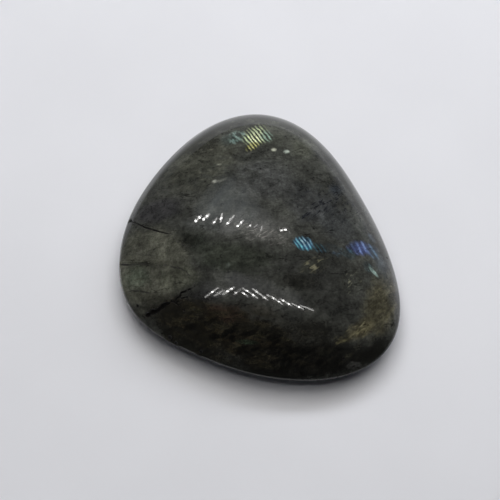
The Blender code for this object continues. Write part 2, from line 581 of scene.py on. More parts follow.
@dataclass
class Board:
    """A node tree, with short ways to add nodes and join them."""

    tree: bpy.types.NodeTree

    def feed(self, socket: bpy.types.NodeSocket, value: Feed) -> None:
        """Join a value to a socket, or set the socket to it."""
        if isinstance(value, bpy.types.NodeSocket):
            self.tree.links.new(value, socket)
        elif socket.type == "RGBA":
            socket.default_value = (*value[:3], 1.0)
        else:
            socket.default_value = value

    def add(self, kind: str, feeds: dict[str | int, Feed], **settings: object) -> bpy.types.Node:
        """Add a node.

        Args:
            kind: The node's type.
            feeds: What each input is given, by its name or number.
            **settings: The node's own settings.

        Returns:
            The new node.
        """
        node = self.tree.nodes.new(kind)
        for name, value in settings.items():
            setattr(node, name, value)
        for name, value in feeds.items():
            self.feed(node.inputs[name], value)
        return node

    def math(self, operation: str, *values: Feed) -> bpy.types.NodeSocket:
        """Work out one number from one or two."""
        return self.add("ShaderNodeMath", dict(enumerate(values)), operation=operation).outputs[0]

    def vector(self, operation: str, *values: Feed) -> bpy.types.NodeSocket:
        """Work out one vector, or a vector's length, from others."""
        node = self.add("ShaderNodeVectorMath", dict(enumerate(values)), operation=operation)
        return node.outputs["Value" if operation in ("LENGTH", "DOT_PRODUCT") else "Vector"]

    def turn(self, vector: Feed, angle: Feed) -> bpy.types.NodeSocket:
        """Turn a vector about the axis that points at the viewer."""
        node = self.add("ShaderNodeVectorRotate", {"Vector": vector, "Angle": angle},
                        rotation_type="Z_AXIS")
        return node.outputs["Vector"]

    def remap(self, value: Feed, low: Feed, high: Feed, to_low: Feed = 0.0,
              to_high: Feed = 1.0) -> bpy.types.NodeSocket:
        """Ease a number from one range to another."""
        node = self.add(
            "ShaderNodeMapRange",
            {"Value": value, "From Min": low, "From Max": high, "To Min": to_low,
             "To Max": to_high},
            interpolation_type="SMOOTHSTEP",
        )
        return node.outputs["Result"]

    def noise(self, vector: Feed, scale: Feed, detail: float = 2.0, rough: float = 0.5,
              output: str = "Fac") -> bpy.types.NodeSocket:
        """Soft random mottling."""
        node = self.add("ShaderNodeTexNoise", {"Vector": vector, "Scale": scale,
                                               "Detail": detail, "Roughness": rough})
        return node.outputs[output]

    def blend(self, amount: Feed, under: Feed, over: Feed,
              blend_type: str = "MIX") -> bpy.types.NodeSocket:
        """Lay one colour over another."""
        node = self.add("ShaderNodeMix", {0: amount, 6: under, 7: over}, data_type="RGBA",
                        blend_type=blend_type)
        return node.outputs[2]

    def place(self, group: bpy.types.NodeTree, label: str,
              feeds: dict[str, Feed]) -> bpy.types.Node:
        """Put a group on the board, under a label of its own."""
        node = self.tree.nodes.new("ShaderNodeGroup")
        node.node_tree = group
        node.label = label
        for name, value in feeds.items():
            self.feed(node.inputs[name], value)
        return node


@dataclass
class GroupBoard(Board):
    """A board that is a shader node group."""

    inlet: bpy.types.Node = None
    outlet: bpy.types.Node = None

    @classmethod
    def new(cls, name: str, takes: dict[Kind, str], gives: str) -> GroupBoard:
        """Start a group.

        Args:
            name: The group's name.
            takes: The names of its inputs, by their kind.
            gives: The names of its outputs, all of them numbers.

        Returns:
            The board to build the group on.
        """
        tree = bpy.data.node_groups.new(name, "ShaderNodeTree")
        for kind, labels in takes.items():
            for label in labels.split():
                tree.interface.new_socket(label, in_out="INPUT", socket_type=kind.value)
        for label in gives.split():
            tree.interface.new_socket(label, in_out="OUTPUT", socket_type=Kind.NUMBER.value)
        inlet = tree.nodes.new("NodeGroupInput")
        outlet = tree.nodes.new("NodeGroupOutput")
        return cls(tree, inlet, outlet)

    def taken(self, name: str) -> bpy.types.NodeSocket:
        """What comes in by an input."""
        return self.inlet.outputs[name]

    def give(self, name: str, value: Feed) -> None:
        """Send a value out by an output."""
        self.feed(self.outlet.inputs[name], value)


# How the groups draw: the scale of each noise, how far it pushes, and the
# levels between which it is cut off.
SOFT_PATCH = "soft_patch"
NOISE_MEAN = (0.5, 0.5, 0.5)
LAYER_INPUTS = {Kind.VECTOR: "Vector", Kind.NUMBER: "Turn Spacing Broken Edge Seed"}
LAYER_OUTPUTS = "Lit Second"
HUE_SCALE = 0.8
HUE_RANGE = (0.35, 0.65)
STREAK_LEVELS = (0.72, 0.28)
STREAK_FADE = 0.10
BAND_WOBBLE = 0.9
BAND_WOBBLE_SCALE = 0.35
BAND_STRETCH = (0.42, 1.0, 0.42)
BAND_GAP_SCALE = 1.1
BAND_FOOT = -0.35
BAND_FADE = 5.0
WISP_LENGTH = 3.4
WISP_WARP = (0.6, 1.6, 0.6)
WISP_WARP_SCALE = 0.7
WISP_LEVELS = (0.44, 0.58)
VEIN_WARP = (0.5, 0.5, 0.5)
VEIN_WARP_SCALE = 2.1
VEIN_GAP_SCALE = 1.7
VEIN_FADE = 0.12


def patch_group() -> bpy.types.NodeTree:
    """A soft, ragged oval patch, as a mask.

    Returns:
        The group. Across, Along and Inward lead from the centre to the
        oval's edge as 1, Softness is the share of it that fades, Torn is a
        random vector, and Shift how far it tears the edge.
    """
    board = GroupBoard.new(
        SOFT_PATCH,
        {Kind.VECTOR: "Vector Torn Shift Centre Across Along Inward", Kind.NUMBER: "Softness"},
        "Mask",
    )
    shoved = board.vector("MULTIPLY_ADD", board.taken("Torn"), board.taken("Shift"),
                          board.taken("Vector"))
    away = board.vector("SUBTRACT", shoved, board.taken("Centre"))
    parts = board.add("ShaderNodeCombineXYZ", {
        axis: board.vector("DOT_PRODUCT", away, board.taken(side))
        for axis, side in (("X", "Across"), ("Y", "Along"), ("Z", "Inward"))})
    reach = board.vector("LENGTH", parts.outputs[0])
    inner = board.math("SUBTRACT", 1.0, board.taken("Softness"))
    board.give("Mask", board.remap(reach, 1.0, inner))
    return board.tree


def hatch_group() -> bpy.types.NodeTree:
    """Fine parallel streaks, as a mask.

    Returns:
        The group. Spacing is from streak to streak, Length how long one
        runs, Cover how much of the skin they take, Seed moves them.
    """
    board = GroupBoard.new(
        "fine_streaks",
        {Kind.VECTOR: "Vector", Kind.NUMBER: "Turn Spacing Length Cover Seed"},
        "Streaks",
    )
    turned = board.turn(board.taken("Vector"), board.math("MULTIPLY", board.taken("Turn"), -1.0))
    step = board.add("ShaderNodeCombineXYZ", {
        "X": board.taken("Length"), "Y": board.taken("Spacing"), "Z": board.taken("Length")})
    scaled = board.vector("DIVIDE", turned, step.outputs[0])
    seed = board.add("ShaderNodeCombineXYZ", {"X": board.taken("Seed"), "Z": board.taken("Seed")})
    scaled = board.vector("ADD", scaled, seed.outputs[0])
    grain = board.noise(scaled, 1.0, detail=1.5, rough=0.55)
    edge = board.remap(board.taken("Cover"), 0.0, 1.0, *STREAK_LEVELS)
    board.give("Streaks", board.remap(grain, edge, board.math("ADD", edge, STREAK_FADE)))
    return board.tree


def bands_group() -> bpy.types.NodeTree:
    """Regular narrow bands with uneven edges, as the lit layers show.

    Returns:
        The group. Lit is the mask, Second the part of it in the second hue.
    """
    board = GroupBoard.new(Lit.BANDS.value, LAYER_INPUTS, LAYER_OUTPUTS)
    scaled = layered_place(board, board.taken("Spacing"), board.taken("Spacing"))
    wobble = board.noise(scaled, BAND_WOBBLE_SCALE, detail=1.0)
    parts = board.add("ShaderNodeSeparateXYZ", {0: scaled})
    across = board.math("ADD", parts.outputs["Y"], board.math("MULTIPLY", wobble, BAND_WOBBLE))
    wave = board.math("SINE", board.math("MULTIPLY", across, 2 * math.pi))
    stretched = board.vector("MULTIPLY", scaled, BAND_STRETCH)
    gaps = board.math("SUBTRACT", board.noise(stretched, BAND_GAP_SCALE, detail=2.0), 0.5)
    level = board.math("ADD", wave, board.math("MULTIPLY", gaps, board.taken("Broken")))
    top = board.math("MULTIPLY", board.taken("Edge"), BAND_FADE)
    give_layers(board, board.remap(level, BAND_FOOT, top), stretched)
    return board.tree


def wisps_group() -> bpy.types.NodeTree:
    """Short ragged strokes that lie one way, as torn layers show.

    Returns:
        The group, with the sockets of the bands group.
    """
    board = GroupBoard.new(Lit.WISPS.value, LAYER_INPUTS, LAYER_OUTPUTS)
    long = board.math("MULTIPLY", board.taken("Spacing"), WISP_LENGTH)
    scaled = layered_place(board, long, board.taken("Spacing"))
    shoved = warped(board, scaled, WISP_WARP_SCALE, WISP_WARP)
    grain = board.noise(shoved, 1.0, detail=3.0, rough=0.6)
    edge = board.remap(board.taken("Broken"), 0.0, 3.0, *WISP_LEVELS)
    lit = board.remap(grain, edge, board.math("ADD", edge, board.taken("Edge")))
    give_layers(board, lit, scaled)
    return board.tree


def layered_place(board: GroupBoard, long: Feed, wide: Feed) -> bpy.types.NodeSocket:
    """The group's Vector turned by its Turn, scaled, and moved by its Seed.

    Args:
        board: The group's board.
        long: The length that becomes 1 along the layers.
        wide: The length that becomes 1 across them.

    Returns:
        The scaled place.
    """
    turned = board.turn(board.taken("Vector"), board.math("MULTIPLY", board.taken("Turn"), -1.0))
    step = board.add("ShaderNodeCombineXYZ", {"X": long, "Y": wide, "Z": long})
    scaled = board.vector("DIVIDE", turned, step.outputs[0])
    seed = board.taken("Seed")
    shift = board.add("ShaderNodeCombineXYZ", {"X": seed, "Y": seed, "Z": seed})
    return board.vector("ADD", scaled, shift.outputs[0])


def warped(board: GroupBoard, place: Feed, scale: float, reach: Triple) -> bpy.types.NodeSocket:
    """A place shoved about at random, each axis by its own reach."""
    shove = board.vector("SUBTRACT", board.noise(place, scale, output="Color"), NOISE_MEAN)
    return board.vector("ADD", place, board.vector("MULTIPLY", shove, reach))


def give_layers(board: GroupBoard, lit: Feed, place: Feed) -> None:
    """Send out what is lit, and the part of it in the second hue."""
    hue = board.remap(board.noise(place, HUE_SCALE, detail=1.0), *HUE_RANGE)
    board.give("Lit", lit)
    board.give("Second", board.math("MULTIPLY", lit, hue))


def veins_group() -> bpy.types.NodeTree:
    """Thin winding lines that come and go, as a mask.

    Returns:
        The group. Long and Wide are the size of a bend along and across the
        lines, Thin how thick a line is, Rare how much of them is missing.
    """
    board = GroupBoard.new(
        "fine_veins",
        {Kind.VECTOR: "Vector", Kind.NUMBER: "Turn Long Wide Thin Rare Seed"},
        "Veins",
    )
    scaled = layered_place(board, board.taken("Long"), board.taken("Wide"))
    shoved = warped(board, scaled, VEIN_WARP_SCALE, VEIN_WARP)
    level = board.noise(shoved, 1.0, detail=2.0, rough=0.45)
    ridge = board.math("ABSOLUTE", board.math("SUBTRACT", level, 0.5))
    line = board.remap(ridge, board.taken("Thin"), 0.0)
    there = board.noise(scaled, VEIN_GAP_SCALE, detail=2.0)
    rare = board.taken("Rare")
    present = board.remap(there, rare, board.math("ADD", rare, VEIN_FADE))
    board.give("Veins", board.math("MULTIPLY", line, present))
    return board.tree


# ---------------------------------------------------------------------------
# Finish of the stone
# ---------------------------------------------------------------------------


@dataclass(frozen=True)
class Patch:
    """An oval part of the stone, with soft and ragged edges.

    Half is the patch's half width and height in pixels, turn in degrees
    counter-clockwise. Each kind of patch says how soft and how ragged it is,
    and how deep it reaches.
    """

    name: str
    centre: Pixel
    half: Pixel
    turn: float

    def mask(self, board: Board, surface: Surface, seen: Feed, torn: Feed) -> Feed:
        """Put the patch on a board.

        Args:
            board: The material's board.
            surface: The smooth skin, on which the patch is placed.
            seen: The place on the stone, laid flat in the main view.
            torn: A random vector that tears the edges.

        Returns:
            The mask.
        """
        wide, tall = (size / surface.view.px_per_metre for size in self.half)
        turn = Matrix.Rotation(math.radians(self.turn), 3, "Z")
        return board.place(bpy.data.node_groups[SOFT_PATCH], self.name, {
            "Vector": seen,
            "Torn": torn,
            "Shift": Vector((wide, tall, (wide + tall) / 2)) * self.ragged,
            "Centre": surface.flat(self.centre),
            "Across": turn @ Vector((1 / wide, 0, 0)),
            "Along": turn @ Vector((0, 1 / tall, 0)),
            "Inward": Vector((0, 0, 1 / self.deep)),
            "Softness": self.soft,
        }).outputs["Mask"]


@dataclass(frozen=True)
class Zone(Patch):
    """A part of the stone with a tint of its own."""

    tint: Colour
    amount: float = 1.0
    soft: float = 0.7
    ragged: float = 0.5
    deep: float = 34 * MM


@dataclass(frozen=True)
class Layers:
    """A family of layers inside the stone, and how they catch the light."""

    lit: Lit
    turn: float
    spacing: float
    broken: float
    edge: float = 0.16


@dataclass(frozen=True)
class Flash(Patch):
    """A patch where one family of layers lights up in two hues, painted into the colour as sheen.
    Flecks, grit and dark bands laid the same way are the stone's own mottling.
    """

    layers: str
    hues: tuple[Colour, Colour]
    gap: Colour = (0.0, 0.0, 0.0)
    amount: float = 1.0
    gap_amount: float = 0.0
    soft: float = 0.5
    ragged: float = 0.45
    deep: float = 12 * MM


BODY = (0.044, 0.046, 0.041)
ZONES = (
    Zone("upper_left_olive", (202, 163), (54, 36), 26, (0.054, 0.056, 0.044), 0.8, 0.6, 0.5),
    Zone("crown_olive", (262, 132), (52, 22), -4, (0.060, 0.064, 0.050), 0.7, 0.8, 0.6),
    Zone("crown_teal", (228, 139), (15, 10), 20, (0.036, 0.046, 0.043), 0.7, 0.8, 0.8),
    Zone("right_crown_olive", (303, 146), (17, 20), -30, (0.064, 0.068, 0.054), 0.7, 0.7, 0.7),
    Zone("upper_grey", (264, 180), (46, 26), -8, (0.060, 0.063, 0.062), 0.8, 0.6, 0.5),
    Zone("upper_right_slate", (312, 205), (40, 24), -32, (0.036, 0.038, 0.038), 0.85, 0.6, 0.6),
    Zone("right_slate", (338, 224), (36, 22), -40, (0.050, 0.054, 0.055), 0.8, 0.7, 0.6),
    Zone("dark_shoulder", (157, 211), (34, 14), 12, (0.040, 0.040, 0.042), 0.85, 0.5, 0.4),
    Zone("shoulder_olive", (188, 187), (22, 10), 22, (0.062, 0.064, 0.053), 0.7, 0.8, 0.6),
    # Painted reflection: a paler grey band along the back lamp's row of highlights, the haze of its
    # mirror image.
    Zone("row_grey", (219, 224), (52, 12), -4, (0.055, 0.059, 0.058), 0.65, 0.8, 0.6),
    Zone("pale_olive", (148, 266), (50, 43), 20, (0.082, 0.084, 0.067), 0.95, 0.30, 0.35),
    Zone("pale_left", (141, 254), (13, 15), 0, (0.106, 0.108, 0.088), 0.75, 0.8, 0.6),
    Zone("pale_wedge", (180, 278), (25, 14), 14, (0.072, 0.076, 0.058), 0.75, 0.45, 0.5),
    Zone("pale_green", (137, 277), (19, 17), 30, (0.100, 0.120, 0.090), 0.75, 0.8, 0.7),
    Zone("olive_band_left", (150, 262), (42, 5), -4, (0.042, 0.042, 0.032), 0.45, 0.8, 0.7),
    Zone("olive_middle", (232, 256), (52, 18), -6, (0.030, 0.034, 0.026), 0.9, 0.6, 0.6),
    Zone("olive_dark", (222, 266), (34, 8), -10, (0.024, 0.028, 0.022), 0.7, 0.8, 0.8),
    Zone("dark_blotch", (195, 240), (32, 18), -10, (0.012, 0.014, 0.011), 0.95, 0.95, 0.9),
    Zone("blotch_core", (190, 240), (10, 7), -30, (0.014, 0.015, 0.012), 0.7, 0.8, 1.2),
    Zone("speckled_end", (262, 234), (36, 12), -15, (0.105, 0.106, 0.098), 0.8, 0.9, 1.0),
    Zone("dark_band_upper", (320, 211), (36, 6), 33, (0.022, 0.023, 0.024), 0.6, 0.9, 1.0),
    Zone("dark_band_top", (336, 190), (11, 9), 40, (0.028, 0.034, 0.042), 0.8, 0.8, 1.2),
    Zone("right_middle", (318, 268), (58, 25), -8, (0.022, 0.023, 0.021), 0.85, 0.7, 0.6),
    Zone("dark_right", (299, 282), (37, 12), -12, (0.012, 0.012, 0.010), 0.85, 0.7, 0.7),
    Zone("slate_right", (334, 300), (36, 24), -12, (0.028, 0.029, 0.0265), 0.9, 0.6, 0.4),
    Zone("gold_right", (380, 305), (23, 42), -16, (0.056, 0.053, 0.036), 0.9, 0.7, 0.8),
    Zone("blue_haze_right", (381, 262), (9, 20), 24, (0.060, 0.072, 0.084), 0.6, 0.9, 0.8),
    # Painted reflection: greyer haze by the left end of the front lamp's row of highlights.
    Zone("haze_grey", (204, 296), (26, 11), 10, (0.030, 0.030, 0.032), 0.7, 0.7, 0.7),
    Zone("brown_front", (226, 330), (108, 30), -18, (0.0100, 0.0088, 0.0060), 0.97, 0.50, 0.40),
    Zone("front_left", (188, 339), (54, 17), -30, (0.0115, 0.0112, 0.0086), 0.92, 0.5, 0.5),
    Zone("cleft_shade", (176, 318), (26, 12), -22, (0.0100, 0.0096, 0.0075), 0.9, 0.6, 0.7),
    Zone("pale_toe", (141, 313), (9, 7), 30, (0.062, 0.064, 0.052), 0.8, 0.7, 0.6),
    Zone("brown_upper", (262, 311), (32, 9), -18, (0.020, 0.0180, 0.0135), 0.7, 0.8, 0.6),
    Zone("red_brown", (226, 313), (26, 12), -12, (0.034, 0.020, 0.014), 0.8, 0.9, 0.9),
    Zone("olive_front", (262, 330), (40, 12), -12, (0.015, 0.0145, 0.010), 0.7, 0.9, 0.9),
    Zone("black_front", (304, 362), (96, 25), 6, (0.0040, 0.0040, 0.0034), 0.95, 0.5, 0.4),
    Zone("front_right", (312, 330), (44, 18), -10, (0.0095, 0.0093, 0.0075), 0.92, 0.8, 0.6),
    Zone("corner_dark", (376, 350), (30, 14), 38, (0.0050, 0.0050, 0.0040), 0.95, 0.8, 0.9),
    # Pale specks at the corner chip: partly the chip's rough grey, partly a painted glint on it.
    Zone("grey_specks", (353, 365.6), (10, 4), 10, (0.090, 0.092, 0.086), 0.5, 0.9, 2.4),
    Zone("streak_left", (221, 180.5), (10, 1.8), 15, (0.18, 0.185, 0.16), 0.8, 0.9, 1.1),
    Zone("streak_left_spot", (214.5, 181.6), (4.2, 2.4), 10, (0.40, 0.41, 0.36), 0.8, 0.9, 0.7),
    Zone("crown_spot_1", (211, 149.6), (4.0, 1.4), 10, (0.20, 0.20, 0.16), 0.7, 0.9, 0.7),
    Zone("crown_spot_2", (219, 164.6), (4.0, 1.7), 10, (0.22, 0.225, 0.18), 0.6, 0.9, 0.8),
    # Painted highlights: two small bright glints on the crown, laid into the colour.
    Zone("glint_left", (274, 149.5), (3.6, 2.8), 0, (0.52, 0.54, 0.44), 0.9, 0.9, 0.6),
    Zone("glint_right", (286.5, 151.5), (4.2, 2.8), 0, (0.46, 0.52, 0.46), 0.9, 0.9, 0.7),
    # Painted reflection: a small soft glow by the front lamp's row of highlights.
    Zone("glow_spot", (228, 265), (3.6, 3.0), 30, (0.085, 0.100, 0.088), 0.7, 0.9, 0.9),
)
LAYERS = {
    "crown": Layers(Lit.BANDS, -52, 0.68 * MM, 2.1, 0.20),
    "cyan": Layers(Lit.BANDS, -56, 0.66 * MM, 2.3, 0.22),
    "blue": Layers(Lit.BANDS, -56, 1.05 * MM, 2.0, 0.34),
    "slash": Layers(Lit.BANDS, -54, 3.0 * MM, 0.6),
    "mist": Layers(Lit.WISPS, -34, 0.56 * MM, 1.7),
    "gold": Layers(Lit.WISPS, 26, 0.66 * MM, 1.5),
    "gold_steep": Layers(Lit.WISPS, 40, 0.95 * MM, 1.1, 0.24),
    "gold_dust": Layers(Lit.WISPS, 40, 0.42 * MM, 2.4),
    "left_dust": Layers(Lit.WISPS, 8, 0.60 * MM, 1.6),
    "upper_dust": Layers(Lit.WISPS, 20, 0.64 * MM, 1.9),
    "right_dust": Layers(Lit.WISPS, 42, 0.52 * MM, 1.3),
    "front_dust": Layers(Lit.WISPS, -14, 1.05 * MM, 0.2, 0.22),
    "front_grit": Layers(Lit.WISPS, 58, 0.48 * MM, 0.6, 0.20),
    "front_black": Layers(Lit.WISPS, 24, 0.95 * MM, 0.9, 0.16),
    "arrow": Layers(Lit.WISPS, -44, 0.80 * MM, 0.9, 0.18),
    "speckle": Layers(Lit.WISPS, 20, 0.34 * MM, 1.4),
}
# The crown, cyan, blue, teal and gold flashes are painted sheen of the inner layers; the flecks,
# grit, dark bands and green line are the stone's own mottling.
FLASHES = (
    Flash("left_flecks", (148, 266), (44, 44), 10, "left_dust",
          ((0.082, 0.084, 0.064), (0.070, 0.076, 0.058)), amount=0.6),
    Flash("upper_flecks", (205, 160), (58, 36), 26, "upper_dust",
          ((0.080, 0.082, 0.066), (0.068, 0.072, 0.060)), amount=0.55),
    Flash("upper_dark_flecks", (225, 176), (64, 32), 20, "front_dust",
          ((0.024, 0.026, 0.024), (0.034, 0.036, 0.032)), amount=0.6),
    Flash("right_dark_flecks", (325, 205), (40, 44), -30, "right_dust",
          ((0.020, 0.022, 0.024), (0.028, 0.031, 0.034)), amount=0.55),
    Flash("dark_band", (321, 207), (38, 9), 34, "right_dust",
          ((0.009, 0.010, 0.012), (0.015, 0.017, 0.021)), (0.030, 0.032, 0.034), 0.9, 0.4),
    Flash("speckles", (262, 233), (36, 12), -16, "speckle",
          ((0.26, 0.26, 0.24), (0.17, 0.145, 0.14)), amount=0.8, soft=0.9, ragged=0.9),
    Flash("olive_flecks", (235, 258), (60, 22), -8, "left_dust",
          ((0.050, 0.054, 0.044), (0.040, 0.050, 0.038)), amount=0.5),
    Flash("front_clouds", (232, 334), (104, 36), -16, "front_dust",
          ((0.029, 0.0235, 0.0130), (0.0185, 0.0190, 0.0115)), amount=0.75, soft=0.7,
          deep=34 * MM),
    Flash("front_grit", (246, 340), (112, 36), -14, "front_grit",
          ((0.030, 0.027, 0.0190), (0.017, 0.017, 0.0130)), amount=0.45, soft=0.7, deep=34 * MM),
    Flash("front_black", (250, 345), (120, 34), -14, "front_black",
          ((0.0020, 0.0019, 0.0016), (0.0032, 0.0030, 0.0024)), amount=0.85, soft=0.7,
          deep=34 * MM),
    Flash("corner_flecks", (345, 352), (46, 16), 22, "gold_steep",
          ((0.026, 0.025, 0.018), (0.014, 0.014, 0.010)), amount=0.6, deep=34 * MM),
    Flash("crown_fire", (256, 135.5), (16.5, 13), 16, "crown",
          ((0.58, 0.66, 0.38), (0.30, 0.38, 0.24)), (0.030, 0.036, 0.026), 0.95, 0.85,
          soft=0.6, ragged=0.8),
    Flash("crown_foot", (252.5, 146), (9.5, 5.5), 30, "crown",
          ((0.54, 0.54, 0.22), (0.34, 0.34, 0.15)), (0.048, 0.046, 0.022), 0.95, 0.7,
          soft=0.7, ragged=0.8),
    Flash("crown_heart", (256, 137), (9, 9), 40, "crown",
          ((0.86, 0.90, 0.60), (0.62, 0.70, 0.46)), amount=0.75, soft=0.9, ragged=0.9),
    Flash("crown_sea", (266.5, 136), (8, 9), 40, "crown",
          ((0.30, 0.44, 0.36), (0.20, 0.30, 0.25)), (0.038, 0.050, 0.042), 0.65, 0.5,
          soft=0.7, ragged=0.8),
    Flash("crown_mist", (237, 137.5), (13, 9), 24, "arrow",
          ((0.28, 0.38, 0.34), (0.09, 0.14, 0.13)), (0.034, 0.048, 0.044), 0.9, 0.6,
          soft=0.7, ragged=0.8),
    Flash("middle_cyan", (303.5, 243.5), (11.5, 7.6), -16, "cyan",
          ((0.12, 0.44, 0.50), (0.22, 0.38, 0.62)), (0.026, 0.10, 0.19), 0.9, 0.85,
          soft=0.6, ragged=0.8),
    Flash("middle_heart", (304, 242), (7.5, 5.5), -20, "cyan",
          ((0.46, 0.68, 0.72), (0.40, 0.58, 0.74)), amount=0.75, soft=0.9, ragged=0.8),
    Flash("cyan_tail", (319, 248), (11, 5.2), -16, "cyan",
          ((0.05, 0.13, 0.13), (0.05, 0.08, 0.13)), (0.024, 0.034, 0.042), 0.6, 0.6),
    Flash("tail_wisps", (334, 250), (14, 7), -20, "mist",
          ((0.06, 0.09, 0.11), (0.05, 0.07, 0.10)), (0.026, 0.032, 0.036), 0.6, 0.4),
    Flash("right_blue", (361, 248.5), (17.5, 9), -8, "blue",
          ((0.13, 0.18, 0.40), (0.15, 0.23, 0.37)), (0.052, 0.068, 0.160), 0.8, 0.85,
          soft=0.7, ragged=0.7),
    Flash("blue_edge", (373, 252), (10, 6), -52, "blue",
          ((0.12, 0.19, 0.32), (0.12, 0.21, 0.28)), (0.040, 0.056, 0.080), 0.75, 0.6,
          soft=0.7, ragged=0.7),
    Flash("blue_foot", (350, 254), (9, 6), -20, "mist",
          ((0.06, 0.14, 0.18), (0.07, 0.12, 0.15)), (0.035, 0.05, 0.056), 0.6, 0.5),
    Flash("upper_blue", (372, 238), (7, 4), -50, "blue",
          ((0.11, 0.14, 0.16), (0.10, 0.12, 0.16)), (0.05, 0.06, 0.075), 0.6, 0.4),
    Flash("teal_slash", (373.4, 272), (9, 1.7), -50, "slash",
          ((0.46, 0.58, 0.52), (0.38, 0.52, 0.50)), (0.26, 0.36, 0.33), 0.9, 0.85),
    Flash("slash_mist", (368, 267), (8, 5), -54, "mist",
          ((0.11, 0.17, 0.18), (0.08, 0.12, 0.13)), (0.04, 0.055, 0.06), 0.5, 0.4),
    Flash("gold_middle", (314, 265), (19, 9.5), 18, "gold",
          ((0.22, 0.21, 0.135), (0.13, 0.125, 0.08)), (0.028, 0.029, 0.021), 0.8, 0.5,
          soft=0.8, ragged=0.8),
    Flash("gold_specks", (352, 283), (15, 15), 40, "gold_dust",
          ((0.20, 0.20, 0.145), (0.12, 0.125, 0.09)), (0.032, 0.034, 0.028), 0.75, 0.3),
    Flash("gold_streaks", (362, 328), (24, 10), 34, "gold_steep",
          ((0.30, 0.275, 0.16), (0.20, 0.18, 0.10)), (0.070, 0.062, 0.036), 0.8, 0.75,
          soft=0.7, ragged=0.8),
    Flash("gold_glint", (359, 328), (14, 6), 36, "gold",
          ((0.46, 0.43, 0.27), (0.30, 0.28, 0.17)), amount=0.6, soft=0.8, ragged=0.9),
    Flash("gold_foot", (344, 339), (13, 6), 16, "gold",
          ((0.13, 0.12, 0.066), (0.075, 0.070, 0.040)), (0.020, 0.018, 0.012), 0.7, 0.5),
    Flash("gold_sheen", (381, 304), (19, 38), -14, "gold_steep",
          ((0.135, 0.125, 0.078), (0.095, 0.090, 0.058)), (0.058, 0.054, 0.036), 0.8, 0.6,
          soft=0.7, ragged=0.7),
    Flash("gold_sheen_dust", (381, 304), (20, 38), -14, "gold_dust",
          ((0.17, 0.165, 0.11), (0.036, 0.034, 0.026)), amount=0.6, soft=0.7),
    Flash("gold_rim", (392, 292), (7, 12), -14, "gold_dust",
          ((0.24, 0.22, 0.15), (0.15, 0.14, 0.10)), (0.07, 0.067, 0.05), 0.7, 0.4),
    Flash("green_line", (247, 342), (14, 3), -5, "left_dust",
          ((0.040, 0.062, 0.040), (0.030, 0.046, 0.030)), (0.016, 0.022, 0.014), 0.9, 0.8),
)


@dataclass(frozen=True)
class CleavageSet:
    """A family of thin parallel lines where the stone's layers meet the skin."""

    name: str
    turn: float
    spacing: float
    length: float
    cover: float
    factor: float
    seed: float


CLEAVAGE = (
    CleavageSet("long_pale", 8, 1.0 * MM, 7 * MM, 0.34, 1.16, 3.1),
    CleavageSet("long_dark", 2, 0.8 * MM, 5 * MM, 0.28, 0.82, 8.6),
    CleavageSet("cross_dark", 54, 0.8 * MM, 3 * MM, 0.26, 0.84, 5.2),
    CleavageSet("cross_pale", -46, 0.6 * MM, 2.0 * MM, 0.26, 1.20, 1.7),
)


@dataclass(frozen=True)
class VeinSet:
    """A family of thin winding lines, darker or paler than the stone."""

    name: str
    turn: float
    long: float
    wide: float
    thin: float
    rare: float
    factor: float
    seed: float


VEINS = (
    VeinSet("dark_veins", 6, 7.0 * MM, 2.2 * MM, 0.022, 0.49, 0.45, 2.3),
    VeinSet("cross_veins", 40, 4.0 * MM, 2.0 * MM, 0.018, 0.51, 0.70, 7.9),
    VeinSet("fine_dark", -12, 1.8 * MM, 1.0 * MM, 0.030, 0.52, 0.80, 4.4),
    VeinSet("pale_veins", 14, 3.0 * MM, 1.2 * MM, 0.022, 0.52, 1.28, 11.6),
)


